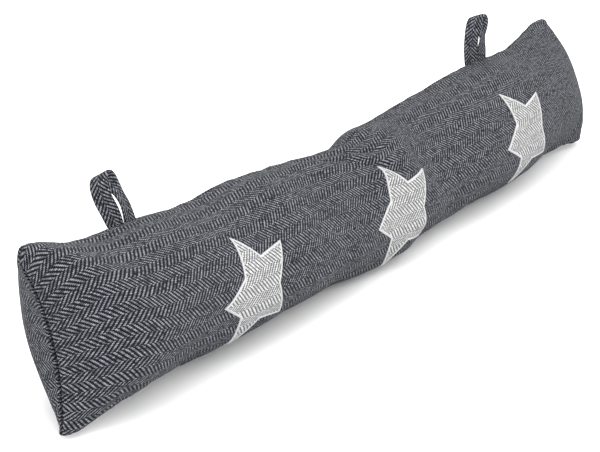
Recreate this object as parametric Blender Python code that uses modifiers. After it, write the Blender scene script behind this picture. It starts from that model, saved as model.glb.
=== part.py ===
"""Draught excluder: a long stuffed cushion that lies along the foot of a door.

The body is one filled cloth solid. Its two panels meet in a seam all round, so both ends narrow
to a leaning seam line with a rounded ear above and below, and the long seams run along the top
back and the front foot. Three star patches lie on the front panel, and two strap loops stand up
from the long seam on top.

Metres, +Z up. The length lies along X, the star side faces -Y, and the origin is at the bottom
centre of the whole object's box. Lengths "along" are measured from the left end.
"""

import math

import bmesh
import bpy
import numpy as np

LENGTH = 0.900

# Cross-sections of the body, one row each.
# foot: underside over the floor (below 0 is pressed flat against it), half_depth: half its
# thickness from front to back before the ends are rounded off.
SECTION_COLUMNS = ("along", "foot", "height", "half_depth")
SECTIONS = (
    (0.000, 0.000, 0.137, 0.042),
    (0.028, 0.007, 0.124, 0.052),
    (0.070, 0.009, 0.113, 0.056),
    (0.140, 0.008, 0.111, 0.057),
    (0.235, 0.001, 0.112, 0.058),
    (0.350, 0.001, 0.107, 0.054),
    (0.440, -0.001, 0.107, 0.046),
    (0.480, -0.002, 0.112, 0.050),
    (0.530, -0.002, 0.109, 0.056),
    (0.610, -0.003, 0.112, 0.060),
    (0.727, -0.002, 0.116, 0.056),
    (0.815, 0.004, 0.105, 0.047),
    (0.865, 0.005, 0.111, 0.039),
    (0.900, 0.000, 0.123, 0.037),
)
WIDEST = 0.47  # height of the fullest part, as a share of the section's height
LOWER_FULLNESS = 1.88  # 2 is half an ellipse, less is a narrower underside
SEAM_TURN = math.radians(18)  # how far the long seams sit round the section, top to the back

# The two ends: how the seam line leans back, how far it bows in between its ears, and the
# length over which the cushion swells from the seam to its full thickness.
LEFT_END = {"lean": 0.25, "bow": 0.015}
RIGHT_END = {"lean": 0.36, "bow": 0.002}
END_ROUND = 0.074
END_REACH = 0.068
SEAM_THICKNESS = 0.05  # share of half_depth left at the very end
SWELL_POWER = 2.2
EAR_RADIUS = 0.011  # rounding of the four corners

# The middle is pinched, so the body bends a little to the front there.
PINCH_ALONG = 0.447
PINCH_REACH = 0.060
PINCH_BEND = -0.0125

EAR_STATIONS = 3
STATIONS = 44
TURNS = 40

STAR_RADIUS = 0.0494
STAR_NOTCH = 0.535  # notch radius as a share of the point radius
STAR_HEIGHT = 0.059  # height of a star's centre over the floor
STAR_CUTS = 6
PATCH_THICKNESS = 0.0012
PATCH_GAP = 0.0003
# girth: how far the centre is moved round the section, turn: degrees from one point due left.
STAR_COLUMNS = ("name", "along", "girth", "turn")
STARS = (
    ("star_left", 0.2014, -0.0025, -0.4),
    ("star_middle", 0.4469, -0.0070, 0.5),
    ("star_right", 0.6924, 0.0025, 2.8),
)

STRAP_WIDTH = 0.015
STRAP_THICKNESS = 0.0024
STRAP_SEGMENTS = 40
LOOP_CLEAR = 0.0012  # strap end over the seam
CREST_RADIUS = 0.055  # how sharply the body curves over from front to back under a strap

# The middle line of each strap from its left foot to its right one, as distances from the seam at
# the loop's place along the body. heading is where the strap's width points: 0 to the front and
# 90 to the right along the body. tilt is how far it points up. Both in degrees.
PATH_COLUMNS = ("right", "back", "up", "heading", "tilt")
LEFT_PATH = (
    (0.0000, 0.0000, 0.0000, 74, 0),
    (-0.0020, 0.0045, 0.0080, 48, 10),
    (-0.0028, 0.0092, 0.0165, 32, 18),
    (-0.0020, 0.0130, 0.0240, 28, 22),
    (0.0008, 0.0155, 0.0292, 26, 26),
    (0.0052, 0.0160, 0.0315, 32, 28),
    (0.0095, 0.0142, 0.0292, 54, 22),
    (0.0120, 0.0105, 0.0240, 84, 10),
    (0.0138, 0.0060, 0.0170, 112, 0),
    (0.0155, 0.0022, 0.0085, 112, 0),
    (0.0170, -0.0005, 0.0000, 88, 0),
)
RIGHT_PATH = (
    (0.0000, 0.0000, 0.0000, 72, 0),
    (-0.0006, -0.0002, 0.0100, 56, 0),
    (-0.0006, -0.0006, 0.0215, 50, 0),
    (0.0014, -0.0012, 0.0315, 38, 8),
    (0.0054, -0.0020, 0.0388, 24, 16),
    (0.0096, -0.0024, 0.0408, 18, 18),
    (0.0130, -0.0032, 0.0378, 34, 15),
    (0.0144, -0.0044, 0.0305, 70, 6),
    (0.0144, -0.0048, 0.0212, 97, 0),
    (0.0140, -0.0042, 0.0090, 82, 0),
    (0.0150, -0.0030, 0.0000, 74, 0),
)
# back: how far behind the seam's own line the strap comes out.
LOOP_COLUMNS = ("name", "along", "back", "path")
LOOPS = (
    ("loop_left", 0.131, 0.003, LEFT_PATH),
    ("loop_right", 0.727, 0.001, RIGHT_PATH),
)

DARK_CLOTH = (0.085, 0.095, 0.115)
PALE_CLOTH = (0.62, 0.62, 0.61)


def clear_scene():
    for obj in list(bpy.data.objects):
        bpy.data.objects.remove(obj, do_unlink=True)


def rows(columns, table):
    return [dict(zip(columns, row)) for row in table]


def between(column, along):
    """A column of SECTIONS read at any place along the body, smooth through every row."""
    index = SECTION_COLUMNS.index(column)
    at = np.array([row[0] for row in SECTIONS])
    value = np.array([row[index] for row in SECTIONS])
    slope = np.gradient(value, at)
    along = np.clip(along, at[0], at[-1])
    i = np.clip(np.searchsorted(at, along, side="right") - 1, 0, len(at) - 2)
    gap = at[i + 1] - at[i]
    t = (along - at[i]) / gap
    rise = value[i] + t * t * (3 - 2 * t) * (value[i + 1] - value[i])
    return rise + gap * t * (1 - t) * ((1 - t) * slope[i] - t * slope[i + 1])


def swell(along):
    """0 at the end seams and 1 where the cushion has its full thickness."""
    share = 1.0
    for distance in (along, LENGTH - along):
        q = np.clip(distance / END_ROUND, 0, 1)
        share = share * np.sqrt(1 - (1 - q) ** SWELL_POWER)
    return share


def ear_cut(along):
    """How far a corner's rounding draws the seam in from the ears' full height."""
    q = np.clip(np.minimum(along, LENGTH - along) / EAR_RADIUS, 0, 1)
    return EAR_RADIUS * (1 - np.sqrt(1 - (1 - q) ** 2))


def near(distance, reach):
    return np.exp(-((distance / reach) ** 2))


def body_point(along, turn):
    """A point of the body's surface. turn is the angle round the section, from the front panel's
    middle line at 0, up to the top seam at a quarter turn and on over the back."""
    full = swell(along)
    height = between("height", along) - 2 * ear_cut(along)
    depth = between("half_depth", along) * np.maximum(full, SEAM_THICKNESS)
    widest = WIDEST * full + 0.5 * (1 - full)
    angle = turn + SEAM_TURN * full
    below = np.sin(angle) < 0
    power = np.where(below, 2 / LOWER_FULLNESS, 1)
    upward = np.sign(np.sin(angle)) * np.abs(np.sin(angle)) ** power
    forward = np.sign(np.cos(angle)) * np.abs(np.cos(angle)) ** power
    z = height * (widest + upward * np.where(below, widest, 1 - widest))
    level = 2 * z / height - 1
    at_left = near(along, END_REACH)
    at_right = near(LENGTH - along, END_REACH)
    lean = LEFT_END["lean"] * at_left + RIGHT_END["lean"] * at_right
    bow = LEFT_END["bow"] * at_left - RIGHT_END["bow"] * at_right
    x = along + bow * (1 - level**2) - LENGTH / 2
    y = lean * level * height / 2 - depth * forward
    y = y + PINCH_BEND * near(along - PINCH_ALONG, PINCH_REACH)
    z = np.maximum(z + between("foot", along) + ear_cut(along), 0)
    return np.stack(np.broadcast_arrays(x, y, z), -1)


def outward(along, turn):
    """The surface's outward normal."""
    step = 1e-4
    lengthwise = body_point(along + step, turn) - body_point(along - step, turn)
    round_it = body_point(along, turn + step) - body_point(along, turn - step)
    normal = np.cross(lengthwise, round_it)
    return normal / np.linalg.norm(normal, axis=-1, keepdims=True)


def front_turn(along, girth):
    """The turn at a distance round the section, measured up the front from STAR_HEIGHT."""
    turns = np.linspace(-math.pi / 2, math.pi / 2, 181)
    points = body_point(along, turns)
    walked = np.r_[0, np.cumsum(np.linalg.norm(np.diff(points, axis=0), axis=1))]
    rising = slice(len(turns) // 6, None)  # leaves out the stretch pressed flat on the floor
    start = np.interp(STAR_HEIGHT, points[rising, 2], walked[rising])
    return np.interp(start + girth, walked, turns)


def cloth(name, colour):
    material = bpy.data.materials.get(name) or bpy.data.materials.new(name)
    material.use_nodes = True
    shader = material.node_tree.nodes["Principled BSDF"]
    shader.inputs["Base Color"].default_value = (*colour, 1)
    shader.inputs["Roughness"].default_value = 0.95
    shader.inputs["Metallic"].default_value = 0.0
    return material


def add_object(name, mesh_data, collection, colour):
    mesh = bpy.data.meshes.new(name)
    mesh_data.to_mesh(mesh)
    mesh_data.free()
    mesh.shade_smooth()
    obj = bpy.data.objects.new(name, mesh)
    obj.data.materials.append(cloth(name + "_cloth", colour))
    collection.objects.link(obj)
    return obj


def thicken(obj, thickness, offset, even=True):
    shell = obj.modifiers.new("thickness", "SOLIDIFY")
    shell.thickness = thickness
    shell.offset = offset
    shell.use_even_offset = even


def station_places():
    """Places of the rings along the body, closer together towards the two ends."""
    quarter = np.linspace(0, math.pi / 2, EAR_STATIONS, endpoint=False)
    ear = EAR_RADIUS * (1 - np.cos(quarter))
    even = np.linspace(0, 1, STATIONS)
    eased = 0.5 - 0.5 * np.cos(math.pi * even)
    middle = (LENGTH - 2 * EAR_RADIUS) * (0.6 * eased + 0.4 * even) + EAR_RADIUS
    return np.concatenate((ear, middle, LENGTH - ear[::-1]))


def make_body(collection):
    """Rings lofted from end to end. Each end is closed across its thin seam, rung by rung."""
    turns = np.arange(TURNS) * 2 * math.pi / TURNS - math.pi / 2
    mesh_data = bmesh.new()
    rings = [
        [mesh_data.verts.new(point) for point in body_point(along, turns)]
        for along in station_places()
    ]
    for ring, following in zip(rings, rings[1:]):
        for i in range(TURNS):
            j = (i + 1) % TURNS
            mesh_data.faces.new((ring[i], following[i], following[j], ring[j]))
    for ring in (rings[0], rings[-1][::-1]):
        low = ring.index(min(ring, key=lambda vertex: vertex.co.z))
        rung = ring[low:] + ring[:low]
        mesh_data.faces.new((rung[0], rung[1], rung[-1]))
        for i in range(1, TURNS // 2 - 1):
            mesh_data.faces.new((rung[i], rung[i + 1], rung[-i - 1], rung[-i]))
        top = TURNS // 2
        mesh_data.faces.new((rung[top - 1], rung[top], rung[top + 1]))
    bmesh.ops.recalc_face_normals(mesh_data, faces=mesh_data.faces)
    return add_object("body", mesh_data, collection, DARK_CLOTH)


def make_star(star, collection):
    """A ten-cornered disc with every second corner drawn in, laid on the front panel."""
    mesh_data = bmesh.new()
    bmesh.ops.create_circle(
        mesh_data, cap_ends=True, cap_tris=True, segments=10, radius=STAR_RADIUS
    )
    rim = [v for v in mesh_data.verts if v.co.length > STAR_RADIUS / 2]
    corners = sorted(rim, key=lambda v: math.atan2(v.co.y, v.co.x) % (2 * math.pi))
    for i, corner in enumerate(corners):
        reach = STAR_RADIUS * (1 if i % 2 else STAR_NOTCH)
        angle = math.radians(36 * i + star["turn"])
        corner.co = (reach * math.cos(angle), reach * math.sin(angle), 0)
    bmesh.ops.subdivide_edges(
        mesh_data, edges=mesh_data.edges, cuts=STAR_CUTS, use_grid_fill=True
    )
    for vertex in mesh_data.verts:
        along = star["along"] + vertex.co.x
        turn = front_turn(along, star["girth"] + vertex.co.y)
        vertex.co = body_point(along, turn) + PATCH_GAP * outward(along, turn)
    bmesh.ops.recalc_face_normals(mesh_data, faces=mesh_data.faces)
    if sum(face.normal.y for face in mesh_data.faces) > 0:
        bmesh.ops.reverse_faces(mesh_data, faces=mesh_data.faces)
    obj = add_object(star["name"], mesh_data, collection, PALE_CLOTH)
    thicken(obj, PATCH_THICKNESS, 1)
    return obj


def path_point(path, share):
    """A row of a path read at a share of its stations, on a smooth curve through them all."""
    path = np.array(path)
    at = share * (len(path) - 1)
    i = min(int(at), len(path) - 2)
    t = at - i
    before, here, there = path[max(i - 1, 0)], path[i], path[i + 1]
    after = path[min(i + 2, len(path) - 1)]
    bend = (2 * before - 5 * here + 4 * there - after) * t * t
    twist = (3 * (here - there) + after - before) * t**3
    return here + 0.5 * ((there - before) * t + bend + twist)


def strap_point(loop, share, aside):
    """A point of the strap's middle surface, aside of its middle line and clear of the body."""
    step = 1e-3
    here = path_point(loop["path"], share)
    after = path_point(loop["path"], min(share + step, 1))
    before = path_point(loop["path"], max(share - step, 0))
    ahead = (after - before)[:3]
    ahead /= np.linalg.norm(ahead)
    heading, tilt = np.radians(here[3:])
    width = np.array(
        (
            math.sin(heading) * math.cos(tilt),
            -math.cos(heading) * math.cos(tilt),
            math.sin(tilt),
        )
    )
    width -= (width @ ahead) * ahead
    width /= np.linalg.norm(width)
    seam = body_point(loop["along"], math.pi / 2)
    point = seam + (0, loop["back"], LOOP_CLEAR) + here[:3] + aside * width
    over = point[1] - seam[1]
    under = body_point(point[0] + LENGTH / 2, math.pi / 2 + over / CREST_RADIUS)
    point[2] = max(point[2], under[2] + LOOP_CLEAR)
    return point


def make_loop(loop, collection):
    """A flat strap bent over into a loop, both of its feet side by side on the top seam."""
    mesh_data = bmesh.new()
    bmesh.ops.create_grid(
        mesh_data, x_segments=STRAP_SEGMENTS, y_segments=2, size=0.5
    )
    for vertex in mesh_data.verts:
        aside = vertex.co.y * STRAP_WIDTH
        vertex.co = strap_point(loop, vertex.co.x + 0.5, aside)
    obj = add_object(loop["name"], mesh_data, collection, DARK_CLOTH)
    thicken(obj, STRAP_THICKNESS, 0, even=False)
    return obj


def centre_on_floor(objects):
    """Puts the origin at the bottom centre of the whole object's box."""
    graph = bpy.context.evaluated_depsgraph_get()
    corners = []
    for obj in objects:
        shape = obj.evaluated_get(graph)
        corners += [np.array(vertex.co) for vertex in shape.data.vertices]
    low, high = np.min(corners, axis=0), np.max(corners, axis=0)
    middle = (low + high) / 2
    for obj in objects:
        for vertex in obj.data.vertices:
            vertex.co.x -= middle[0]
            vertex.co.y -= middle[1]


def main():
    clear_scene()
    collection = bpy.data.collections.new("draught_excluder")
    bpy.context.scene.collection.children.link(collection)
    objects = [make_body(collection)]
    objects += [make_star(star, collection) for star in rows(STAR_COLUMNS, STARS)]
    objects += [make_loop(loop, collection) for loop in rows(LOOP_COLUMNS, LOOPS)]
    bpy.context.view_layer.update()
    centre_on_floor(objects)


main()
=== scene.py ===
"""Draught excluder: a long stuffed cushion in herringbone cloth, with three stars sewn on its front
and two strap loops on top.

Laid out as a Blender add-on and run as a script. Metres throughout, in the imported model's frame:
+Z up, the length along X, the star side facing -Y. Lengths "along" start at the left end. "turn" is
the angle round a cross-section, 0 at the middle of the front, a quarter turn at the top seam.
"""

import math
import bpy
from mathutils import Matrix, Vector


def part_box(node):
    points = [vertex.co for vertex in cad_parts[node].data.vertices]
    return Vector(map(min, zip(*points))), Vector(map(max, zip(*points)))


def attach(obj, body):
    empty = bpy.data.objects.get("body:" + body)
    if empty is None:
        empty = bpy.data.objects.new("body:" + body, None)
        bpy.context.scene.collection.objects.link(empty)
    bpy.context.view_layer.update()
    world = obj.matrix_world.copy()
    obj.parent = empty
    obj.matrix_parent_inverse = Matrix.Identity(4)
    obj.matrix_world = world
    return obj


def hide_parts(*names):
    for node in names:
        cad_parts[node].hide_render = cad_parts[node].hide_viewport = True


bl_info = {
    "name": "Draught Excluder",
    "version": (1, 0, 0),
    "blender": (4, 5, 0),
    "location": "3D View > Sidebar > Draught Excluder",
    "description": "Builds a stuffed herringbone draught excluder with sewn stars and strap loops",
    "category": "Object",
}

import bpy
import numpy as np
from mathutils import Matrix, Vector

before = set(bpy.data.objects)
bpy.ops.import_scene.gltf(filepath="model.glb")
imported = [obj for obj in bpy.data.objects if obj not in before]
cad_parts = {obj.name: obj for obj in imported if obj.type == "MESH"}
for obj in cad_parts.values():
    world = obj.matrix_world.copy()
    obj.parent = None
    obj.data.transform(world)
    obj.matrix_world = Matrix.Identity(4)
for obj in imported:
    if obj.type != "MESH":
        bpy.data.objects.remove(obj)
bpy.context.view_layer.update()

BODY_LOW, BODY_HIGH = (np.array(corner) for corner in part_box("body"))
ROOT = "root"

# ---------------------------------------------------------------- the body's shape

LENGTH = 0.900
# Cross-sections of the stuffed body, from the left end seam to the right one.
SECTION_COLUMNS = ("along", "foot", "height", "half_depth")
SECTIONS = (
    (0.000, 0.0000, 0.1370, 0.0420),
    (0.028, 0.0070, 0.1240, 0.0520),
    (0.070, 0.0070, 0.1150, 0.0560),
    (0.140, 0.0055, 0.1130, 0.0570),
    (0.215, 0.0020, 0.1100, 0.0580),
    (0.285, 0.0010, 0.1115, 0.0595),
    (0.350, 0.0010, 0.1070, 0.0565),
    (0.440, -0.0010, 0.1070, 0.0460),
    (0.480, -0.0020, 0.1120, 0.0500),
    (0.530, -0.0010, 0.1080, 0.0530),
    (0.610, -0.0010, 0.1100, 0.0570),
    (0.727, -0.0020, 0.1160, 0.0560),
    (0.815, 0.0040, 0.1075, 0.0470),
    (0.865, 0.0050, 0.1110, 0.0390),
    (0.900, 0.0000, 0.1230, 0.0370),
)
WIDEST = 0.47  # height of the fullest place, as a share of the section's height
LOWER_FULLNESS = 1.88  # 2 would leave the lower half a plain ellipse
# The top seam lies this far round behind the crown, and the bottom seam in front of the foot.
SEAM_TURN = math.radians(18)
# lean: how far the end seam leans back, for each metre up. bow: how far its middle is drawn in.
# top_ear, foot_ear: how far its corners are rounded off.
LEFT_END = {"lean": 0.25, "bow": 0.015, "top_ear": 0.012, "foot_ear": 0.006}
RIGHT_END = {"lean": 0.36, "bow": 0.004, "top_ear": 0.008, "foot_ear": 0.009}
END_ROUND = 0.074  # distance from an end seam over which the body swells to its full depth
END_REACH = 0.068  # distance over which the lean and the bow die away
SEAM_THICKNESS = 0.004  # thickness at an end seam, as a share of the full depth
SWELL_POWER = 2.2  # 2 would swell the body on a quarter of an ellipse
EAR_LENGTH = 0.022  # length of the rounded corners along the body
# The body bends to the front at its pinch.
PINCH_ALONG = 0.447
PINCH_REACH = 0.060
PINCH_BEND = -0.0125
BODY_BACK = 0.0009  # how far the section's middle line stands behind the middle of the CAD solid

STATIONS = 403
TURNS = 204
DENSE_PLACES = 4001  # places walked over to spread the stations evenly
STATION_CROWDING = ((2, 0.5), (4, 0.3))  # half waves over the length, and how much they crowd
TURN_CROWDING = 0.3
SIM_EVERY = (3, 2)  # the cloth simulation runs on every third station and every second turn
PANEL_WIDTH = 0.180  # each of the two panels between its long seams, cut flat

# Creases pressed into the panels: from and to (along, girth up the front from STAR_HEIGHT),
# depth and half width.
CREASES = (
    ((0.372, 0.078), (0.450, 0.030), 0.0040, 0.0050),
    ((0.425, 0.070), (0.458, 0.052), 0.0022, 0.0035),
)
CREASE_HOLD = 0.3  # a crease keeps its depth over this share of its length either side of its middle
CREASE_FADE = 0.25  # and fades out over this share beyond

# Lumps of filling: size along the body and round it, share of the lump height, where they start
# in the noise, and its seed.
LUMPS = (
    (0.055, 0.060, 1.0, 20, 3),
    (0.021, 0.024, 0.4, 9, 5),
)
BACK_PANEL_START = 7.0  # the back panel's place in the noise, so that it isn't lumpy like the front
LUMP_CLEAR = 0.010  # distance from a seam within which the lumps die away

# How far puckers reach from the long seams and from the end seams, and where they start at those.
LONG_PUCKER_REACH = 0.011
END_PUCKER_REACH = 0.016
END_PUCKER_START = 0.004
END_PUCKER_SHARE = 1.3

# The rolled edge beside a seam's groove, in groove widths, and its share of the groove's depth.
ROLL_PLACE = 3
ROLL_REACH = 2.2
ROLL_SHARE = 0.35

STAR_POINTS = 5
STAR_RADIUS = 0.0494
STAR_NOTCH = 0.535  # radius of the notches, as a share of the points' radius
STAR_HEIGHT = 0.059  # height on the front from which girths are measured
# along and girth place a star's middle, and turn is in degrees.
STAR_COLUMNS = ("name", "along", "girth", "turn")
STARS = (
    ("star_left", 0.2014, -0.0025, -0.4),
    ("star_middle", 0.4469, -0.0070, 0.5),
    ("star_right", 0.6924, 0.0025, 2.8),
)

# The middle line of each strap from its left foot to its right one: distances to the right, to the
# back and up from the seam at the loop's place along the body, then heading and tilt in degrees.
# heading is where the strap's width points, 0 to the front and 90 to the right along the body.
# tilt is how far it points up.
LEFT_PATH = (
    (0.0000, 0.0000, 0.0000, 74, 0),
    (-0.0020, 0.0045, 0.0080, 48, 10),
    (-0.0028, 0.0092, 0.0165, 32, 18),
    (-0.0020, 0.0130, 0.0240, 28, 22),
    (0.0008, 0.0155, 0.0292, 26, 26),
    (0.0052, 0.0160, 0.0315, 32, 28),
    (0.0095, 0.0142, 0.0292, 54, 22),
    (0.0120, 0.0105, 0.0240, 84, 10),
    (0.0136, 0.0060, 0.0170, 100, 0),
    (0.0153, 0.0022, 0.0085, 98, 0),
    (0.0170, -0.0005, 0.0000, 88, 0),
)
RIGHT_PATH = (
    (0.0000, 0.0000, 0.0000, 72, 0),
    (-0.0006, -0.0002, 0.0100, 56, 0),
    (-0.0006, -0.0006, 0.0215, 50, 0),
    (0.0014, -0.0012, 0.0315, 38, 8),
    (0.0054, -0.0020, 0.0388, 24, 16),
    (0.0096, -0.0024, 0.0408, 18, 18),
    (0.0130, -0.0032, 0.0378, 34, 15),
    (0.0144, -0.0044, 0.0305, 70, 6),
    (0.0144, -0.0048, 0.0212, 97, 0),
    (0.0140, -0.0042, 0.0090, 82, 0),
    (0.0150, -0.0030, 0.0000, 74, 0),
)
# back: how far behind the seam's own line the strap comes out.
LOOP_COLUMNS = ("name", "along", "back", "path")
LOOPS = (
    ("loop_left", 0.131, 0.003, LEFT_PATH),
    ("loop_right", 0.727, 0.001, RIGHT_PATH),
)
LOOP_LIFT = 0.0012  # how far a path is raised over the plain shape's seam
LOOP_SINK = 0.0040  # how far the feet reach down into the seam

QUARTER = math.pi / 2


def rows(columns, table):
    """A table's rows, each with its values under the names of their columns."""
    return [dict(zip(columns, row)) for row in table]


def between(column, along):
    """A column of SECTIONS read at any place along the body, smooth through every row."""
    index = SECTION_COLUMNS.index(column)
    at = np.array([row[0] for row in SECTIONS])
    value = np.array([row[index] for row in SECTIONS])
    slope = np.gradient(value, at)
    along = np.clip(along, at[0], at[-1])
    i = np.clip(np.searchsorted(at, along, side="right") - 1, 0, len(at) - 2)
    gap = at[i + 1] - at[i]
    t = (along - at[i]) / gap
    rise = value[i] + t * t * (3 - 2 * t) * (value[i + 1] - value[i])
    return rise + gap * t * (1 - t) * ((1 - t) * slope[i] - t * slope[i + 1])


def swell(along):
    """0 at the end seams and 1 where the cushion has its full thickness."""
    share = 1.0
    for distance in (along, LENGTH - along):
        q = np.clip(distance / END_ROUND, 0, 1)
        share = share * np.sqrt(1 - (1 - q) ** SWELL_POWER)
    return share


def ear_cut(along, ear):
    """How far the rounded corners draw the seam in, at the top or at the foot."""
    cut = 0.0
    for distance, end in ((along, LEFT_END), (LENGTH - along, RIGHT_END)):
        q = np.clip(distance / EAR_LENGTH, 0, 1)
        cut = cut + end[ear] * (1 - np.sqrt(1 - (1 - q) ** 2))
    return cut


def near(distance, reach):
    """1 at no distance, fading to nothing at about twice the reach."""
    return np.exp(-((distance / reach) ** 2))


def signed_power(value, power):
    """A value's size raised to a power, with its sign kept."""
    return np.sign(value) * np.abs(value) ** power


def body_point(along, turn):
    """A point of the plain stuffed shape, before seams and creases."""
    full = swell(along)
    foot_cut = ear_cut(along, "foot_ear")
    height = between("height", along) - foot_cut - ear_cut(along, "top_ear")
    depth = between("half_depth", along) * np.maximum(full, SEAM_THICKNESS)
    widest = WIDEST * full + 0.5 * (1 - full)
    angle = turn + SEAM_TURN * full
    below = np.sin(angle) < 0
    power = np.where(below, 2 / LOWER_FULLNESS, 1)
    upward = signed_power(np.sin(angle), power)
    forward = signed_power(np.cos(angle), power)
    z = height * (widest + upward * np.where(below, widest, 1 - widest))
    level = 2 * z / height - 1
    at_left = near(along, END_REACH)
    at_right = near(LENGTH - along, END_REACH)
    lean = LEFT_END["lean"] * at_left + RIGHT_END["lean"] * at_right
    bow = LEFT_END["bow"] * at_left - RIGHT_END["bow"] * at_right
    x = along + bow * (1 - level**2) - LENGTH / 2
    y = lean * level * height / 2 - depth * forward
    y = y + PINCH_BEND * near(along - PINCH_ALONG, PINCH_REACH)
    z = np.maximum(z + between("foot", along) + foot_cut, 0)
    return np.stack(np.broadcast_arrays(x, y, z), -1)


# ---------------------------------------------------------------- grids over the body


def station_places():
    """Places along the body, even over the cloth and closer together near the end seams."""
    dense = LENGTH * (0.5 - 0.5 * np.cos(np.linspace(0, math.pi, DENSE_PLACES)))
    line = body_point(dense, 0.0)
    walked = np.r_[0, np.cumsum(np.linalg.norm(np.diff(line, axis=0), axis=1))]
    share = np.linspace(0, 1, STATIONS)
    for waves, crowding in STATION_CROWDING:
        share -= crowding * np.sin(waves * math.pi * share) / (waves * math.pi)
    return np.interp(share * walked[-1], walked, dense)


def turn_places():
    """Turns from the bottom seam all the way round, closer together near both long seams."""
    even = np.arange(TURNS + 1) * 2 * math.pi / TURNS - QUARTER
    return even + TURN_CROWDING * np.sin(2 * even)


def walked_over(points, axis):
    """Distance walked over a grid of points along one of its two axes."""
    steps = np.linalg.norm(np.diff(points, axis=axis), axis=-1)
    start = np.zeros_like(np.take(steps, [0], axis=axis))
    return np.concatenate((start, np.cumsum(steps, axis=axis)), axis=axis)


def normals_of(points):
    """Outward normals of a grid that closes on itself round its second axis."""
    lengthwise = np.gradient(points, axis=0)
    looped = np.concatenate((points[:, -2:-1], points, points[:, 1:2]), axis=1)
    round_it = looped[:, 2:] - looped[:, :-2]
    normal = np.cross(lengthwise, round_it)
    normal[0] = (-1, 0, 0)
    normal[-1] = (1, 0, 0)
    return normal / np.maximum(np.linalg.norm(normal, axis=-1, keepdims=True), 1e-12)


def value_noise(across, up, seed):
    """Smooth random hills from -1 to 1 over a plane, one to each unit square."""
    size = 64
    lattice = np.random.default_rng(seed).uniform(-1, 1, (size, size))
    i, j = np.floor(across).astype(int), np.floor(up).astype(int)
    s, t = across - i, up - j
    s, t = s * s * (3 - 2 * s), t * t * (3 - 2 * t)
    i, j, right, above = i % size, j % size, (i + 1) % size, (j + 1) % size
    low = lattice[i, j] * (1 - s) + lattice[right, j] * s
    high = lattice[i, above] * (1 - s) + lattice[right, above] * s
    return low * (1 - t) + high * t


def read_grid(grid, i, j):
    """A grid read at fractional places, straight between its points."""
    i = np.clip(i, 0, grid.shape[0] - 1.001)
    j = np.clip(j, 0, grid.shape[1] - 1.001)
    a, b = i.astype(int), j.astype(int)
    s, t = i - a, j - b
    if grid.ndim == 3:
        s, t = s[..., None], t[..., None]
    low = grid[a, b] * (1 - s) + grid[a + 1, b] * s
    high = grid[a, b + 1] * (1 - s) + grid[a + 1, b + 1] * s
    return low * (1 - t) + high * t


def spread(coarse, every):
    """A coarse set of rows made every times finer along its first axis, on a smooth curve."""
    at = np.arange((len(coarse) - 1) * every + 1) / every
    i = np.clip(at.astype(int), 0, len(coarse) - 2)
    t = (at - i).reshape((-1,) + (1,) * (coarse.ndim - 1))
    before = coarse[np.maximum(i - 1, 0)]
    after = coarse[np.minimum(i + 2, len(coarse) - 1)]
    here, there = coarse[i], coarse[i + 1]
    curve = (2 * before - 5 * here + 4 * there - after) * t * t
    curve = curve + (3 * (here - there) + after - before) * t**3
    return here + 0.5 * ((there - before) * t + curve)


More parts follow.
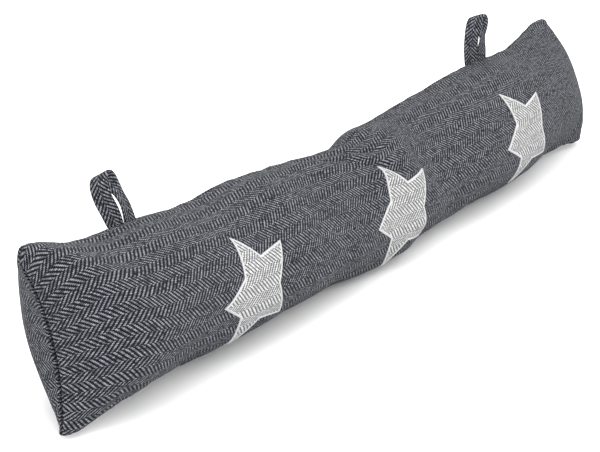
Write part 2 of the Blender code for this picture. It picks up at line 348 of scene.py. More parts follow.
class Cushion:
    """The body's surface as a grid of points, with what the other pieces need to sit on it."""

    def __init__(self, settings):
        self.along = station_places()
        self.turns = turn_places()
        plain = body_point(self.along[:, None], self.turns[None, :])
        self.shift = (BODY_LOW + BODY_HIGH) / 2 + (0, BODY_BACK, 0)
        self.shift[2] = 0
        self.plain = plain + self.shift
        self.top = int(np.argmin(np.abs(self.turns - QUARTER)))
        self.measure()
        self.points = self.settle(settings) if settings.simulate else self.plain
        self.points = self.sewn(settings)
        self.normals = normals_of(self.points)

    def measure(self):
        """Arc lengths: round each ring from the nearest long seam, and in from the end seams."""
        girth = walked_over(self.plain, 1)
        front = girth[:, self.top][:, None]
        whole = girth[:, -1][:, None]
        on_front = np.arange(len(self.turns)) <= self.top
        share = np.where(on_front, girth / front, (girth - front) / (whole - front))
        self.panel_share = share
        panel = np.where(on_front, front, whole - front)
        self.from_long_seam = np.minimum(share, 1 - share) * panel
        length = walked_over(self.plain, 0)
        self.from_left_seam = length
        self.from_right_seam = length[-1] - length
        self.lengthwise = length - length[len(length) // 2]
        heights = self.plain[:, : self.top + 1, 2]
        rising = slice(self.top // 6, None)
        start = [
            np.interp(STAR_HEIGHT, z[rising], walked[rising])
            for z, walked in zip(heights, girth[:, : self.top + 1])
        ]
        self.front_girth = girth[:, : self.top + 1] - np.array(start)[:, None]

    def settle(self, settings):
        """Lets the cloth swell between its seams, as filling pushes it out. The seams are held, no
        point moves further than the swell limit, and the move is evened out with its neighbours'."""
        every_station, every_turn = SIM_EVERY
        held = self.plain[::every_station, ::every_turn]
        seam_distance = np.minimum(self.from_left_seam, self.from_right_seam)
        seam_distance = np.minimum(seam_distance, self.from_long_seam)
        grip = near(seam_distance, settings.seam_grip)[::every_station, ::every_turn]
        swollen = simulate_cloth(held[:, :-1], grip[:, :-1], settings)
        swollen = np.concatenate((swollen, swollen[:, :1]), axis=1)
        move = swollen - held
        far = np.linalg.norm(move, axis=-1, keepdims=True)
        move = move * np.tanh(far / settings.swell_cap) * settings.swell_cap / np.maximum(far, 1e-9)
        move[1:-1] = (move[:-2] + 2 * move[1:-1] + move[2:]) / 4
        looped = np.concatenate((move[:, -3:-1], move, move[:, 1:3]), axis=1)
        looped[:, 1:-1] = (looped[:, :-2] + 2 * looped[:, 1:-1] + looped[:, 2:]) / 4
        wide = spread(looped.transpose(1, 0, 2), every_turn).transpose(1, 0, 2)
        wide = wide[:, 2 * every_turn : -2 * every_turn]
        return self.plain + spread(wide, every_station)

    def sewn(self, settings):
        """Presses in the seams, their puckers and the creases, and keeps it all on the floor."""
        points = self.points.copy()
        normal = normals_of(points)
        u = self.lengthwise
        v = self.panel_share * PANEL_WIDTH
        front = np.arange(len(self.turns)) <= self.top
        side = np.where(front, 0.0, BACK_PANEL_START)
        end_seam = np.minimum(self.from_left_seam, self.from_right_seam)
        nearest = np.minimum(end_seam, self.from_long_seam)
        # The mask of the painted shade down in the seams, carried by the body's seam attribute.
        self.seam_shade_mask = near(nearest, settings.groove_width)
        lift = 0.0
        for length, girth, share, start, seed in LUMPS:
            lumps = value_noise(u / length + start, v / girth + side, seed)
            lift = lift + share * settings.lump_height * lumps
        lift = lift * (1 - near(nearest, LUMP_CLEAR))
        # The numbers added here only pick another place in the noise.
        ripple = value_noise(u / settings.pucker_length + 11, 0 * v + 4, 8)
        fade = np.exp(-self.from_long_seam / LONG_PUCKER_REACH)
        lift = lift + settings.pucker_height * ripple * fade
        ripple = value_noise(points[..., 2] / settings.pucker_length + 5, 0 * v + np.sign(u), 9)
        fade = np.exp(-end_seam / END_PUCKER_REACH) * np.clip(end_seam / END_PUCKER_START, 0, 1)
        lift = lift + END_PUCKER_SHARE * settings.pucker_height * ripple * fade
        lift = lift - seam_profile(self.from_long_seam, settings)
        for start, end, depth, half_width in CREASES:
            lift = lift - depth * self.crease(start, end, half_width)
        points = points + normal * lift[..., None]
        pull = seam_profile(end_seam, settings) * np.where(u < 0, 1, -1)
        points[..., 0] += pull
        points[..., 2] = np.maximum(points[..., 2], 0)
        points[:, -1] = points[:, 0]
        return points

    def crease(self, start, end, half_width):
        """1 along a line drawn on the front and over the top, fading out across and at its ends."""
        across = self.along[:, None] - start[0]
        up = np.pad(self.front_girth, ((0, 0), (0, len(self.turns) - self.top - 1)), mode="edge")
        up = up - start[1]
        run, rise = end[0] - start[0], end[1] - start[1]
        length = math.hypot(run, rise)
        t = (across * run + up * rise) / length**2
        away = (across * rise - up * run) / length
        past_end = np.maximum(np.abs(t - 0.5) - CREASE_HOLD, 0)
        return near(away, half_width) * near(past_end, CREASE_FADE)

    def place(self, along, turn, lift):
        """The finished surface's point at a place along and a turn, lifted off along its normal."""
        i = np.interp(along, self.along, np.arange(len(self.along)))
        j = np.interp(turn, self.turns, np.arange(len(self.turns)))
        normal = read_grid(self.normals, i, j)
        return read_grid(self.points, i, j) + lift[:, None] * normal

    def front_place(self, along, girth, lift):
        """The same, at a distance up the front from STAR_HEIGHT."""
        station = np.interp(along, self.along, np.arange(len(self.along)))
        turn = np.zeros_like(along)
        for k, (i, wanted) in enumerate(zip(station, girth)):
            low = int(i)
            ends = [
                np.interp(wanted, self.front_girth[row], self.turns[: self.top + 1])
                for row in (low, min(low + 1, len(self.along) - 1))
            ]
            turn[k] = ends[0] + (i - low) * (ends[1] - ends[0])
        return self.place(along, turn, lift)


def seam_profile(distance, settings):
    """How deep the cloth lies below the plain shape near a seam: a groove with a rolled edge."""
    width = settings.groove_width
    groove = settings.groove_depth * near(distance, width)
    roll = near(distance - ROLL_PLACE * width, ROLL_REACH * width)
    return groove - ROLL_SHARE * settings.groove_depth * roll


# The simulated cloth: light, and firm along its threads.
CLOTH = {
    "quality": 6,
    "mass": 0.25,
    "tension_stiffness": 20,
    "compression_stiffness": 20,
    "shear_stiffness": 8,
    "bending_stiffness": 4,
    "use_pressure": True,
    "pin_stiffness": 1,
}


def simulate_cloth(grid, grip, settings):
    """Swells a closed grid of cloth with pressure, slightly larger than its shape, and returns
    where its points end up. The grip says how firmly each point is held."""
    count, around = grid.shape[:2]
    mesh = bpy.data.meshes.new("cloth_form")
    mesh.from_pydata(grid.reshape(-1, 3).tolist(), [], grid_faces(count, around))
    form = bpy.data.objects.new("cloth_form", mesh)
    bpy.context.scene.collection.objects.link(form)
    held = form.vertex_groups.new(name="held")
    for index, weight in enumerate(grip.reshape(-1).tolist()):
        held.add([index], weight, "REPLACE")
    cloth = form.modifiers.new("cloth", "CLOTH")
    for name, value in CLOTH.items():
        setattr(cloth.settings, name, value)
    cloth.settings.uniform_pressure_force = settings.pressure
    cloth.settings.shrink_min = -settings.spare_cloth
    cloth.settings.vertex_group_mass = "held"
    cloth.settings.effector_weights.gravity = 0
    cloth.collision_settings.use_collision = False
    cloth.point_cache.frame_end = settings.sim_frames
    scene = bpy.context.scene
    for number in range(1, settings.sim_frames + 1):
        scene.frame_set(number)
    shape = form.evaluated_get(bpy.context.evaluated_depsgraph_get())
    moved = np.empty(len(mesh.vertices) * 3)
    shape.data.vertices.foreach_get("co", moved)
    scene.frame_set(1)
    bpy.data.objects.remove(form, do_unlink=True)
    bpy.data.meshes.remove(mesh)
    return moved.reshape(count, around, 3)


def grid_faces(count, around):
    """Faces of a grid of count rows, each closed into a ring."""
    i, j = np.meshgrid(np.arange(count - 1), np.arange(around), indexing="ij")
    k = (j + 1) % around
    corners = (i * around + j, (i + 1) * around + j, (i + 1) * around + k, i * around + k)
    return np.stack(corners, -1).reshape(-1, 4).tolist()


# ---------------------------------------------------------------- meshes and materials


def add_piece(name, points, faces, material, node, weave):
    """A mesh object that rides on the root, with its weave places in a UV map of their own. It
    stands in for a CAD node, if one is named."""
    mesh = bpy.data.meshes.new(name)
    mesh.from_pydata(np.asarray(points).reshape(-1, 3).tolist(), [], faces)
    add_map(mesh, "weave", weave)
    mesh.shade_smooth()
    mesh.materials.append(material)
    piece = bpy.data.objects.new(name, mesh)
    bpy.context.scene.collection.objects.link(piece)
    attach(piece, ROOT)
    if node:
        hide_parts(node)
    return piece


def add_map(mesh, name, corners):
    """A UV map from one place for each face corner."""
    layer = mesh.uv_layers.new(name=name, do_init=False)
    layer.data.foreach_set("uv", np.asarray(corners, np.float32).reshape(-1))


class Socket:
    """A node's output, with arithmetic that adds Math nodes to its tree."""

    def __init__(self, recipe, output):
        self.recipe = recipe
        self.output = output

    def math(self, operation, *values):
        return self.recipe.math(operation, self, *values)

    def __add__(self, other):
        return self.math("ADD", other)

    def __sub__(self, other):
        return self.math("SUBTRACT", other)

    def __mul__(self, other):
        return self.math("MULTIPLY", other)

    def __truediv__(self, other):
        return self.math("DIVIDE", other)

    def __rsub__(self, other):
        return self.recipe.math("SUBTRACT", other, self)

    def __rtruediv__(self, other):
        return self.recipe.math("DIVIDE", other, self)

    __radd__ = __add__
    __rmul__ = __mul__

    def floor(self):
        return self.math("FLOOR")

    def fract(self):
        return self.math("FRACT")

    def arch(self):
        """0 at whole numbers and 1 halfway between them."""
        part = self.fract()
        return 4 * part * (1 - part)


class Recipe:
    """A material's node tree, made by calls."""

    def __init__(self, name):
        self.material = bpy.data.materials.new(name)
        self.material.use_nodes = True
        self.tree = self.material.node_tree
        self.tree.nodes.clear()

    def node(self, kind, settings=None, inputs=None, output=0):
        """Adds a node. Its settings are set before its sockets are given values or links."""
        made = self.tree.nodes.new(kind)
        for key, value in (settings or {}).items():
            setattr(made, key, value)
        for key, value in (inputs or {}).items():
            if isinstance(value, Socket):
                self.tree.links.new(value.output, made.inputs[key])
            else:
                made.inputs[key].default_value = value
        return Socket(self, made.outputs[output]) if made.outputs else None

    def math(self, operation, *values):
        return self.node("ShaderNodeMath", {"operation": operation}, dict(enumerate(values)))

    def mix(self, factor, first, second):
        """One colour faded into another."""
        inputs = {0: factor, 6: first, 7: second}
        return self.node("ShaderNodeMix", {"data_type": "RGBA"}, inputs, output=2)

    def tint(self, colour, strength):
        """A colour made darker or lighter by a value."""
        grey = self.node("ShaderNodeCombineXYZ", inputs={0: strength, 1: strength, 2: strength})
        return self.node("ShaderNodeVectorMath", {"operation": "MULTIPLY"}, {0: colour, 1: grey})

    def plane(self, across, up):
        return self.node("ShaderNodeCombineXYZ", inputs={0: across, 1: up})

    def noise(self, place, scale, detail=2.0):
        settings = {"noise_dimensions": "2D"}
        inputs = {"Vector": place, "Scale": scale, "Detail": detail}
        return self.node("ShaderNodeTexNoise", settings, inputs)

    def fade(self, value, low, high):
        """0 below low and 1 above high, smooth in between."""
        settings = {"interpolation_type": "SMOOTHSTEP"}
        inputs = {"Value": value, "From Min": low, "From Max": high}
        return self.node("ShaderNodeMapRange", settings, inputs)

    def finish(self, colour, roughness, height, depth, sheen):
        """The cloth shader itself: colour, roughness, surface height in depth's units, and sheen."""
        bump_inputs = {"Height": height, "Strength": 1.0, "Distance": depth}
        bump = self.node("ShaderNodeBump", inputs=bump_inputs)
        inputs = {
            "Base Color": colour,
            "Roughness": roughness,
            "Normal": bump,
            "Specular IOR Level": 0.1,
            "Sheen Weight": sheen,
            "Sheen Roughness": 0.55,
            "Sheen Tint": (0.9, 0.93, 1.0, 1.0),
        }
        cloth = self.node("ShaderNodeBsdfPrincipled", inputs=inputs)
        self.node("ShaderNodeOutputMaterial", inputs={"Surface": cloth})
        return self.material


TWILL = 4  # threads in one repeat of the twill, two over and two under
FLOAT_EDGE = 0.28  # how gently a float rises out of the threads that it crosses
SEAM_SHADE = 0.65  # how much darker the painted shade makes the cloth down in a seam
BUMP_HEIGHT = 0.35  # height of the floats, in threads
# How far the threads wander, in threads, and the scale of the noise that they follow.
ACROSS_WANDER = (0.5, 120.0)
LENGTHWISE_WANDER = (0.3, 45.0)
SLUB_SCALE = (60, 420)  # thick and thin places in the yarn, along it and from yarn to yarn
PATCH_SCALE = 300.0
HAIR_SCALE = 2600.0


def herringbone(name, light, dark, thread, band_threads, sheen, cover, uneven):
    """Two-over-two herringbone: light threads run lengthwise over dark ones, and the slant of the
    floats turns round from one band to the next. cover is the share of the light yarn, and uneven
    says how much its floats differ. The colour holds painted shade: darker between threads, a little
    darker on every other band, and darker where a piece has a seam attribute."""
    recipe = Recipe(name)
    spot = recipe.node("ShaderNodeUVMap", {"uv_map": "weave"})
    split = recipe.node("ShaderNodeSeparateXYZ", inputs={0: spot})
    u = split
    v = Socket(recipe, split.output.node.outputs[1])

    reach, scale = ACROSS_WANDER
    pick = u / thread + (recipe.noise(spot, scale, 3.0) - 0.5) * reach
    reach, scale = LENGTHWISE_WANDER
    line = v / thread + (recipe.noise(spot, scale) - 0.5) * reach
    row = line.floor()
    band = (row / band_threads).floor()
    odd = (band / 2).fract() * 2
    within = row - band * band_threads
    climb = within + odd * (band_threads - 1 - 2 * within)
    step = (pick + climb) / TWILL + odd * 0.5
    float_height = (step * 2 * math.pi).math("SINE")
    edge = math.cos(math.pi * cover)
    over = recipe.fade(float_height, edge - FLOAT_EDGE, edge + FLOAT_EDGE)

    each = recipe.plane(step.floor(), row)
    luck = recipe.node("ShaderNodeTexWhiteNoise", {"noise_dimensions": "2D"}, {"Vector": each})
    slub = recipe.noise(recipe.plane(u * SLUB_SCALE[0], v * SLUB_SCALE[1]), 1.0)
    patch = recipe.noise(spot, PATCH_SCALE, 3.0)
    hair = recipe.noise(spot, HAIR_SCALE, 1.0)

    thread_arch = line.arch()
    dark_arch = pick.arch()
    chance = 1.2 * (luck - 0.5) + 0.5 * (slub - 0.5) + 1.4 * (patch - 0.5) + 0.7 * (hair - 0.5)
    # The seam attribute is the mask of the painted shade down in the seams.
    seam = recipe.node("ShaderNodeAttribute", {"attribute_name": "seam"}, output=2)
    # Painted shade: the light floats are darker at the edges of each row of threads, and every other
    # band is a little darker, as light falls on its slant. uneven * chance is the yarn's own random
    # tone.
    bright = (0.82 - 0.05 * odd + uneven * chance) * (0.45 + 0.55 * thread_arch)
    # Painted shade: the cloth is darker down in the seams.
    bright = bright * (1 - SEAM_SHADE * seam)
    # Painted shade: the dark threads are darker between one pick and the next. slub is the yarn's own
    # tone.
    dim = (0.65 + 0.5 * dark_arch) * (0.6 + 0.8 * slub)
    colour = recipe.mix(over, recipe.tint((*dark,), dim), recipe.tint((*light,), bright))
    height = over * (0.55 + 0.45 * thread_arch) + (1 - over) * (0.45 * dark_arch) + 0.10 * hair
    roughness = 0.80 + 0.15 * hair
    return recipe.finish(colour, roughness, height, BUMP_HEIGHT * thread, sheen)


STITCH_WIDTH = 0.00045
STITCH_HEIGHT = 0.00012


def stitch_thread(name, colour):
    """Shiny embroidery thread, seen as fine ribs across the satin edge."""
    recipe = Recipe(name)
    spot = recipe.node("ShaderNodeUVMap", {"uv_map": "weave"})
    ribs = recipe.node("ShaderNodeSeparateXYZ", inputs={0: spot})
    count = ribs / STITCH_WIDTH
    each = recipe.plane(count.floor(), 0.0)
    luck = recipe.node("ShaderNodeTexWhiteNoise", {"noise_dimensions": "2D"}, {"Vector": each})
    arch = count.arch()
    # Painted shade: the stitches are darker between the ribs. luck varies their tone at random.
    shade = 0.80 + 0.14 * arch + 0.12 * (luck - 0.5)
    roughness = 0.55 + 0.15 * luck
    return recipe.finish(recipe.tint((*colour,), shade), roughness, arch, STITCH_HEIGHT, 0.25)


# ---------------------------------------------------------------- pieces


# The body's baking map: its cloth in strips one over the other, and the caps in a narrow column.
BAKE_STRIPS = 3
BAKE_FILL = 0.96  # share of a strip's height that its cloth fills, and of the map's width
BAKE_LEFT = 0.015
BAKE_FOOT = 0.02
BACK_WEAVE = 0.25  # the back panel's place in the weave, away from the front's
CAP_COLUMN = (0.985, 0.997)
CAP_ROWS = (0.05, 0.95)


def unwrapped(cushion):
    """Weave places and baking places of every corner of the body's faces, in the faces' order."""
    i, j = np.meshgrid(np.arange(STATIONS - 1), np.arange(TURNS), indexing="ij")
    corner_i = np.stack((i, i + 1, i + 1, i), -1)
    corner_j = np.stack((j, j, j + 1, j + 1), -1)
    back = (j >= cushion.top)[..., None]
    share = cushion.panel_share[corner_i, corner_j]
    share = np.where(back & (corner_j == cushion.top), 0.0, share)
    u = cushion.lengthwise[corner_i, corner_j]
    weave = np.stack((u, (share - 0.5) * PANEL_WIDTH + np.where(back, BACK_WEAVE, 0.0)), -1)

    reach = cushion.lengthwise[:, cushion.top // 2]
    place = (reach - reach[0]) / (reach[-1] - reach[0])
    run = (place[corner_i] + back) * BAKE_STRIPS / 2
    strip = np.floor((place[i] + back[..., 0]) * BAKE_STRIPS / 2)[..., None]
    across = BAKE_LEFT + BAKE_FILL * (run - strip)
    up = (strip + BAKE_FOOT + BAKE_FILL * share) / BAKE_STRIPS
    return weave.reshape(-1, 2), np.stack((across, up), -1).reshape(-1, 2)


def end_caps(stations, around):
    """Faces across the thin seam at both ends, rung by rung."""
    faces = []
    for first, flip in ((0, False), ((stations - 1) * around, True)):
        ring = list(range(first, first + around))
        if flip:
            ring = [ring[0]] + ring[:0:-1]
        half = around // 2
        faces.append([ring[0], ring[1], ring[-1]])
        faces += [[ring[k], ring[k + 1], ring[-k - 1], ring[-k]] for k in range(1, half - 1)]
        faces.append([ring[half - 1], ring[half], ring[half + 1]])
    return faces


def make_body(settings):
    """The stuffed body in one skin, closed across its end seams."""
    cushion = Cushion(settings)
    faces = grid_faces(STATIONS, TURNS)
    caps = end_caps(STATIONS, TURNS)
    weave, bake = unwrapped(cushion)
    spare = sum(len(cap) for cap in caps)
    points = cushion.points[:, :-1]
    weave = np.concatenate((weave, np.zeros((spare, 2))))
    bake = np.concatenate((bake, cap_corner_places(caps)))
    material = herringbone(
        "dark_herringbone",
        settings.light_yarn,
        settings.dark_yarn,
        settings.thread,
        settings.band_threads,
        sheen=0.01,
        cover=0.42,
        uneven=0.8,
    )
    body = add_piece("body_cushion", points, faces + caps, material, "body", weave)
    # The seam attribute carries the mask of the painted shade down in the seams.
    seam = body.data.attributes.new("seam", "FLOAT", "POINT")
    seam.data.foreach_set("value", cushion.seam_shade_mask[:, :-1].astype(np.float32).reshape(-1))
    add_map(body.data, "OFBake", bake)
    return cushion


def cap_corner_places(caps):
    """Baking places for the faces inside the end seams, one small box each."""
    places = []
    left, right = CAP_COLUMN
    box = (CAP_ROWS[1] - CAP_ROWS[0]) / len(caps)
    for number, cap in enumerate(caps):
        low = CAP_ROWS[0] + number * box
        high = low + 0.8 * box
        square = ((left, low), (right, low), (right, high), (left, high))
        places += square[: len(cap)]
    return np.array(places)


def star_outline(turn, inset):
    """The corners of a star drawn in by inset, as (along, up) from its middle."""
    corners = []
    for number in range(2 * STAR_POINTS):
        reach = STAR_RADIUS * (1 if number % 2 else STAR_NOTCH)
        angle = math.radians(180 / STAR_POINTS * number + turn)
        corners.append((reach * math.cos(angle), reach * math.sin(angle)))
    corners = np.array(corners)
    before, after = np.roll(corners, 1, axis=0), np.roll(corners, -1, axis=0)
    moved = []
    for behind, corner, ahead in zip(before, corners, after):
        first, second = corner - behind, ahead - corner
        left = np.array((-first[1], first[0])) / np.linalg.norm(first)
        right = np.array((-second[1], second[0])) / np.linalg.norm(second)
        mitre = (left + right) / (1 + left @ right)
        moved.append(corner + inset * mitre)
    return np.array(moved)


PATCH_INSET = 0.0006  # the cloth ends this far inside the star's outline, under the stitches
PATCH_RINGS = 26
PATCH_SIDE_STEPS = 12
PATCH_MIDDLE = 0.02  # size of the innermost ring, as a share of the outline
PATCH_DROP = 0.45  # how much lower the cloth lies at its rim, as a share of its lift
PATCH_FLATNESS = 6


def make_star(star, cushion, settings, cloth, thread):
    """A star of pale cloth laid on the front, a little lower at its rim, with its stitched edge."""
    outline = star_outline(star["turn"], PATCH_INSET)
    rim = []
    for corner, following in zip(outline, np.roll(outline, -1, axis=0)):
        side = following - corner
        rim += [corner + side * k / PATCH_SIDE_STEPS for k in range(PATCH_SIDE_STEPS)]
    rim = np.array(rim)
    shares = np.linspace(PATCH_MIDDLE, 1, PATCH_RINGS)
    places = np.concatenate([rim * share for share in shares])
    lift = settings.patch_lift * (1 - PATCH_DROP * shares**PATCH_FLATNESS)
    lift = np.repeat(lift, len(rim))
    points = cushion.front_place(star["along"] + places[:, 0], star["girth"] + places[:, 1], lift)
    faces = grid_faces(PATCH_RINGS, len(rim))
    faces.append(list(range(len(rim))))
    weave = places[np.concatenate([np.array(face) for face in faces])]
    name = star["name"]
    patch = add_piece(name + "_patch", points, faces, cloth, name, weave)
    face_outward(patch)
    edge = make_satin(star, cushion, settings, thread)
    return patch


RIB_SPACING = 0.0009
RIB_STEPS = 3
SATIN_ACROSS = 9  # points across the stitched edge
SATIN_OVERHANG = 0.0005  # how far the stitches reach outside the star's outline
SATIN_FOOT = 0.2  # height of the stitches' own edges, as a share of the patch's lift
RIB_RELIEF = 0.14  # how much lower the stitches lie between two ribs


def make_satin(star, cushion, settings, thread):
    """The dense zigzag that sews a star down: a raised, ribbed rope along its outline."""
    section = np.linspace(-1, 1, SATIN_ACROSS)
    across = (section[:, None] + 1) / 2
    half = settings.satin_width / 2
    crown = settings.satin_height * np.sqrt(np.clip(1 - section**2, 0, 1))
    inner = star_outline(star["turn"], settings.satin_width - SATIN_OVERHANG)
    outer = star_outline(star["turn"], -SATIN_OVERHANG)
    middle = (inner + outer) / 2
    places, lifts, spots = [], [], []
    walked = 0.0
    for number in range(len(middle)):
        following = (number + 1) % len(middle)
        side = np.linalg.norm(middle[following] - middle[number])
        steps = int(side / RIB_SPACING) * RIB_STEPS
        for k in range(steps):
            t = k / steps
            low = inner[number] + t * (inner[following] - inner[number])
            high = outer[number] + t * (outer[following] - outer[number])
            places.append(low + across * (high - low))
            rib = 0.5 + 0.5 * math.cos(2 * math.pi * k / RIB_STEPS)
            lifts.append(settings.patch_lift * SATIN_FOOT + crown * (1 - RIB_RELIEF * (1 - rib)))
            spots.append(np.stack((np.full(SATIN_ACROSS, walked + t * side), section * half), -1))
        walked += side
    places, lifts, spots = np.array(places), np.array(lifts), np.array(spots)
    flat = places.reshape(-1, 2)
    points = cushion.front_place(
        star["along"] + flat[:, 0], star["girth"] + flat[:, 1], lifts.reshape(-1)
    )
    faces = []
    for row in range(len(places)):
        here, there = row * SATIN_ACROSS, (row + 1) % len(places) * SATIN_ACROSS
        for k in range(SATIN_ACROSS - 1):
            faces.append([here + k, here + k + 1, there + k + 1, there + k])
    weave = spots.reshape(-1, 2)[np.array(faces).reshape(-1)]
    name = star["name"] + "_satin_edge"
    edge = add_piece(name, points, faces, thread, None, weave)
    face_outward(edge)
    return edge


def face_outward(piece):
    """Turns the faces so that the piece's outer side looks to the front."""
    normals = np.empty(len(piece.data.polygons) * 3)
    piece.data.polygons.foreach_get("normal", normals)
    if normals.reshape(-1, 3)[:, 1].sum() > 0:
        piece.data.flip_normals()


STRAP_THREADS = 17  # threads over the strap's width, in two bands
STRAP_BAND = 9
STRAP_STEPS = 121
STRAP_AROUND = 28
STRAP_CORNERS = (0.55, 0.8)  # powers that round the edges of the strap's section, across and through
CAMBER_REACH = 0.3  # share of half the strap's length over which it stays arched
INNER_WEAVE = 0.1  # the inner side's place in the weave, away from the outer side's


def make_loop(loop, cushion, settings, cloth):
    """A flat strap bent over into a loop, both of its feet side by side in the top seam."""
    path = np.array(loop["path"])
    path[[0, -1], 2] -= LOOP_SINK
    path = spread(path, (STRAP_STEPS - 1) // (len(path) - 1))
    seam = body_point(loop["along"], QUARTER) + cushion.shift
    line = seam + (0, loop["back"], LOOP_LIFT) + path[:, :3]
    ahead = np.gradient(line, axis=0)
    ahead /= np.linalg.norm(ahead, axis=1, keepdims=True)
    heading, tilt = np.radians(path[:, 3:]).T
    level = np.cos(tilt)
    width = np.stack((np.sin(heading) * level, -np.cos(heading) * level, np.sin(tilt)), -1)
    width -= np.sum(width * ahead, axis=1, keepdims=True) * ahead
    width /= np.linalg.norm(width, axis=1, keepdims=True)
    outward = np.cross(ahead, width)
    if outward[STRAP_STEPS // 2, 2] < 0:
        outward = -outward
    angle = np.arange(STRAP_AROUND) * 2 * math.pi / STRAP_AROUND
    wide = signed_power(np.cos(angle), STRAP_CORNERS[0]) * settings.strap_width / 2
    thick = signed_power(np.sin(angle), STRAP_CORNERS[1]) * settings.strap_thickness / 2
    camber = settings.strap_camber * near(np.linspace(-1, 1, STRAP_STEPS), CAMBER_REACH)
    arched = thick + camber[:, None] * (1 - (2 * wide / settings.strap_width) ** 2)
    points = line[:, None] + wide[:, None] * width[:, None] + arched[..., None] * outward[:, None]
    walked = np.r_[0, np.cumsum(np.linalg.norm(np.diff(line, axis=0), axis=1))]
    faces = grid_faces(STRAP_STEPS, STRAP_AROUND)
    first_end = list(range(STRAP_AROUND))
    last_end = [(STRAP_STEPS - 1) * STRAP_AROUND + k for k in first_end]
    faces += [first_end[::-1], last_end]
    corner = np.concatenate([np.array(face) for face in faces])
    step_of, spot_of = corner // STRAP_AROUND, corner % STRAP_AROUND
    across = wide[spot_of] + np.where(thick[spot_of] < 0, INNER_WEAVE, 0)
    weave = np.stack((walked[step_of], across), -1)
    name = loop["name"]
    strap = add_piece(name + "_strap", points, faces, cloth, name, weave)
    return strap


# ---------------------------------------------------------------- settings


class BodySettings(bpy.types.PropertyGroup):
    """Sizes and colours of the stuffed body."""

    light_yarn: bpy.props.FloatVectorProperty(
        name="Light Yarn",
        description="Colour of the threads that make the slanting floats",
        subtype="COLOR",
        default=(0.172, 0.176, 0.196),
        min=0,
        max=1,
    )
    dark_yarn: bpy.props.FloatVectorProperty(
        name="Dark Yarn",
        description="Colour of the threads between the floats",
        subtype="COLOR",
        default=(0.004, 0.005, 0.008),
        min=0,
        max=1,
    )
    thread: bpy.props.FloatProperty(
        name="Thread",
        description="Width of one thread of the weave",
        unit="LENGTH",
        default=0.00105,
        min=0.0003,
    )
    band_threads: bpy.props.IntProperty(
        name="Threads per Band",
        description="Threads from one turn of the herringbone to the next",
        default=8,
        min=4,
    )
    groove_depth: bpy.props.FloatProperty(
        name="Seam Depth",
        description="How deep the seams lie in the cloth",
        unit="LENGTH",
        default=0.0024,
        min=0,
    )
    groove_width: bpy.props.FloatProperty(
        name="Seam Width",
        description="Half width of the groove along a seam",
        unit="LENGTH",
        default=0.0009,
        min=0.0002,
    )
    pucker_height: bpy.props.FloatProperty(
        name="Pucker Height",
        description="Height of the small puckers beside the seams",
        unit="LENGTH",
        default=0.0008,
        min=0,
    )
    pucker_length: bpy.props.FloatProperty(
        name="Pucker Length",
        description="Spacing of the puckers along a seam",
        unit="LENGTH",
        default=0.009,
        min=0.001,
    )
    lump_height: bpy.props.FloatProperty(
        name="Lump Height",
        description="Unevenness of the filling under the cloth",
        unit="LENGTH",
        default=0.0008,
        min=0,
    )
    simulate: bpy.props.BoolProperty(
        name="Simulate",
        description="Swell the cloth between its seams by simulation",
        default=True,
    )
    pressure: bpy.props.FloatProperty(
        name="Pressure",
        description="How hard the filling pushes the cloth out",
        default=3.0,
        min=0,
    )
    spare_cloth: bpy.props.FloatProperty(
        name="Spare Cloth",
        description="Share by which the cloth is longer than the shape that it covers",
        subtype="FACTOR",
        default=0.008,
        min=0,
        max=0.2,
    )
    seam_grip: bpy.props.FloatProperty(
        name="Seam Grip",
        description="Distance from a seam over which the cloth is held",
        unit="LENGTH",
        default=0.004,
        min=0.001,
    )
    swell_cap: bpy.props.FloatProperty(
        name="Swell Limit",
        description="The furthest that any point may move in the simulation",
        unit="LENGTH",
        default=0.003,
        min=0.0001,
    )
    sim_frames: bpy.props.IntProperty(
        name="Simulated Frames",
        description="Length of the simulation",
        default=20,
        min=2,
    )


class StarSettings(bpy.types.PropertyGroup):
    """Sizes and colours of the sewn stars."""

    light_yarn: bpy.props.FloatVectorProperty(
        name="White Yarn",
        description="Colour of the stars' floats",
        subtype="COLOR",
        default=(0.57, 0.57, 0.565),
        min=0,
        max=1,
    )
    dark_yarn: bpy.props.FloatVectorProperty(
        name="Grey Yarn",
        description="Colour of the threads between the stars' floats",
        subtype="COLOR",
        default=(0.075, 0.075, 0.08),
        min=0,
        max=1,
    )
    satin: bpy.props.FloatVectorProperty(
        name="Satin Thread",
        description="Colour of the stitching round the stars",
        subtype="COLOR",
        default=(0.47, 0.47, 0.465),
        min=0,
        max=1,
    )
    patch_lift: bpy.props.FloatProperty(
        name="Patch Lift",
        description="Height of a star's cloth over the body",
        unit="LENGTH",
        default=0.0010,
        min=0.0001,
    )
    satin_width: bpy.props.FloatProperty(
        name="Satin Width",
        description="Width of the stitched edge",
        unit="LENGTH",
        default=0.0021,
        min=0.001,
    )
    satin_height: bpy.props.FloatProperty(
        name="Satin Height",
        description="How far the stitched edge stands up",
        unit="LENGTH",
        default=0.0009,
        min=0.0001,
    )


class LoopSettings(bpy.types.PropertyGroup):
    """Sizes of the two strap loops, whose yarns are the body's."""

    strap_width: bpy.props.FloatProperty(
        name="Strap Width",
        description="Width of the folded strap",
        unit="LENGTH",
        default=0.0144,
        min=0.004,
    )
    strap_thickness: bpy.props.FloatProperty(
        name="Strap Thickness",
        description="Thickness of the folded strap",
        unit="LENGTH",
        default=0.0026,
        min=0.0005,
    )
    strap_camber: bpy.props.FloatProperty(
        name="Strap Camber",
        description="How far the strap arches across its width at the top of the loop",
        unit="LENGTH",
        default=0.0011,
        min=0,
    )


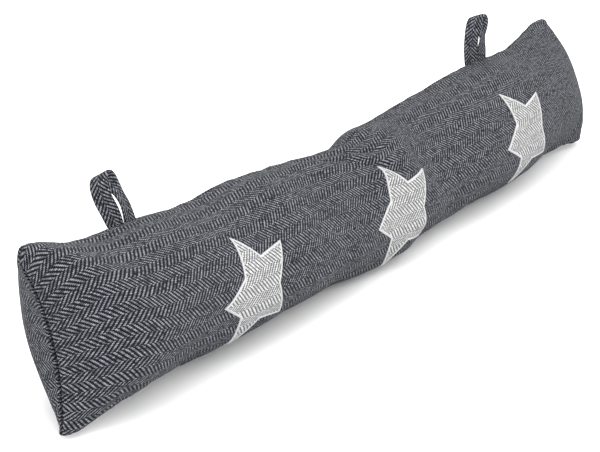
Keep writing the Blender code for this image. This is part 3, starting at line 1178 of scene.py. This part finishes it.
class StageSettings(bpy.types.PropertyGroup):
    """Camera and light."""

    azimuth: bpy.props.FloatProperty(
        name="Azimuth",
        description="Side from which the camera looks, from straight in front",
        subtype="ANGLE",
        default=math.radians(-61.1),
    )
    elevation: bpy.props.FloatProperty(
        name="Elevation",
        description="How far the camera looks down",
        subtype="ANGLE",
        default=math.radians(17.2),
    )
    distance: bpy.props.FloatProperty(
        name="Distance",
        description="From the camera to the point that it looks at",
        unit="LENGTH",
        default=2.0,
        min=0.1,
    )
    aim: bpy.props.FloatVectorProperty(
        name="Aim",
        description="Point at the middle of the view",
        subtype="XYZ",
        unit="LENGTH",
        default=(-0.104, -0.0106, 0.0616),
    )
    lens: bpy.props.FloatProperty(
        name="Lens",
        description="Focal length in millimetres",
        default=150.5,
        min=10,
    )
    floor: bpy.props.FloatVectorProperty(
        name="Floor",
        description="Colour of the floor",
        subtype="COLOR",
        default=(0.93, 0.93, 0.93),
        min=0,
        max=1,
    )


# ---------------------------------------------------------------- operators

made = {}  # the finished cushion, for the pieces that sit on it


class OBJECT_OT_excluder_body(bpy.types.Operator):
    """Makes the stuffed body with its seams"""

    bl_idname = "object.excluder_body"
    bl_label = "Body"

    def execute(self, context):
        made["cushion"] = make_body(context.scene.excluder_body)
        return {"FINISHED"}


class OBJECT_OT_excluder_stars(bpy.types.Operator):
    """Sews the three stars on the front"""

    bl_idname = "object.excluder_stars"
    bl_label = "Stars"

    def execute(self, context):
        settings, body = context.scene.excluder_stars, context.scene.excluder_body
        cloth = herringbone(
            "pale_herringbone",
            settings.light_yarn,
            settings.dark_yarn,
            body.thread,
            body.band_threads,
            sheen=0.02,
            cover=0.56,
            uneven=0.35,
        )
        thread = stitch_thread("satin_thread", settings.satin)
        for star in rows(STAR_COLUMNS, STARS):
            make_star(star, made["cushion"], settings, cloth, thread)
        return {"FINISHED"}


class OBJECT_OT_excluder_loops(bpy.types.Operator):
    """Makes the two strap loops on the top seam"""

    bl_idname = "object.excluder_loops"
    bl_label = "Loops"

    def execute(self, context):
        settings, body = context.scene.excluder_loops, context.scene.excluder_body
        cloth = herringbone(
            "strap_herringbone",
            body.light_yarn,
            body.dark_yarn,
            settings.strap_width / STRAP_THREADS,
            STRAP_BAND,
            sheen=0.01,
            cover=0.45,
            uneven=0.9,
        )
        for loop in rows(LOOP_COLUMNS, LOOPS):
            make_loop(loop, made["cushion"], settings, cloth)
        return {"FINISHED"}


class OBJECT_OT_excluder_stage(bpy.types.Operator):
    """Lays the floor, hangs the lights and places the camera"""

    bl_idname = "object.excluder_stage"
    bl_label = "Stage"

    def execute(self, context):
        settings = context.scene.excluder_stage
        make_floor(settings)
        make_lights()
        make_camera(settings)
        return {"FINISHED"}


def make_floor(settings):
    """A plain matt floor that reaches well past the view."""
    size = 6.0
    mesh = bpy.data.meshes.new("floor")
    corners = [(-size, -size, 0), (size, -size, 0), (size, size, 0), (-size, size, 0)]
    mesh.from_pydata(corners, [], [(0, 1, 2, 3)])
    floor = bpy.data.objects.new("floor", mesh)
    bpy.context.scene.collection.objects.link(floor)
    recipe = Recipe("floor_paint")
    inputs = {"Base Color": (*settings.floor, 1), "Roughness": 0.9, "Specular IOR Level": 0.0}
    paint = recipe.node("ShaderNodeBsdfPrincipled", inputs=inputs)
    recipe.node("ShaderNodeOutputMaterial", inputs={"Surface": paint})
    mesh.materials.append(recipe.material)


WORLD_STRENGTH = 1.9
LIGHT_COLUMNS = ("name", "place", "width", "height", "power")
LIGHTS = (
    ("overhead_softbox", (-0.6, -0.7, 2.1), 2.8, 2.0, 26.0),
    ("camera_side_fill", (-1.8, -2.2, 1.2), 2.2, 1.6, 26.0),
)


def make_lights():
    """Two soft lights turned to the middle of the floor, in a white studio."""
    for row in rows(LIGHT_COLUMNS, LIGHTS):
        data = bpy.data.lights.new(row["name"], "AREA")
        data.shape = "RECTANGLE"
        data.size = row["width"]
        data.size_y = row["height"]
        data.energy = row["power"]
        lamp = bpy.data.objects.new(row["name"], data)
        bpy.context.scene.collection.objects.link(lamp)
        lamp.location = row["place"]
        lamp.rotation_euler = Vector(row["place"]).to_track_quat("Z", "Y").to_euler()
    world = bpy.data.worlds.new("studio")
    world.use_nodes = True
    background = world.node_tree.nodes["Background"]
    background.inputs["Color"].default_value = (1.0, 1.0, 1.0, 1)
    background.inputs["Strength"].default_value = WORLD_STRENGTH
    bpy.context.scene.world = world
    bpy.context.scene.view_settings.view_transform = "Standard"


def make_camera(settings):
    """A camera that looks at the aim from the distance and angles of the settings."""
    data = bpy.data.cameras.new("camera")
    data.lens = settings.lens
    data.sensor_width = 36.0
    camera = bpy.data.objects.new("camera", data)
    bpy.context.scene.collection.objects.link(camera)
    turned = Matrix.Rotation(settings.azimuth, 4, "Z")
    turned = turned @ Matrix.Rotation(QUARTER - settings.elevation, 4, "X")
    back = turned.to_3x3() @ Vector((0, 0, 1))
    camera.matrix_world = Matrix.Translation(Vector(settings.aim) + settings.distance * back) @ turned
    bpy.context.scene.camera = camera


class VIEW3D_PT_excluder(bpy.types.Panel):
    """Sizes and steps of the draught excluder"""

    bl_label = "Draught Excluder"
    bl_idname = "VIEW3D_PT_excluder"
    bl_space_type = "VIEW_3D"
    bl_region_type = "UI"
    bl_category = "Draught Excluder"

    def draw(self, context):
        for group, step in STEPS:
            box = self.layout.box()
            settings = getattr(context.scene, group)
            for name in settings.__annotations__:
                box.prop(settings, name)
            box.operator(step.bl_idname)


STEPS = (
    ("excluder_body", OBJECT_OT_excluder_body),
    ("excluder_stars", OBJECT_OT_excluder_stars),
    ("excluder_loops", OBJECT_OT_excluder_loops),
    ("excluder_stage", OBJECT_OT_excluder_stage),
)
GROUPS = {
    "excluder_body": BodySettings,
    "excluder_stars": StarSettings,
    "excluder_loops": LoopSettings,
    "excluder_stage": StageSettings,
}


def register():
    for name, group in GROUPS.items():
        bpy.utils.register_class(group)
        setattr(bpy.types.Scene, name, bpy.props.PointerProperty(type=group))
    for _, step in STEPS:
        bpy.utils.register_class(step)
    bpy.utils.register_class(VIEW3D_PT_excluder)


def unregister():
    bpy.utils.unregister_class(VIEW3D_PT_excluder)
    for _, step in reversed(STEPS):
        bpy.utils.unregister_class(step)
    for name, group in reversed(GROUPS.items()):
        delattr(bpy.types.Scene, name)
        bpy.utils.unregister_class(group)


def main():
    register()
    bpy.ops.object.excluder_body()
    bpy.ops.object.excluder_stars()
    bpy.ops.object.excluder_loops()
    bpy.ops.object.excluder_stage()


if __name__ == "__main__":
    main()
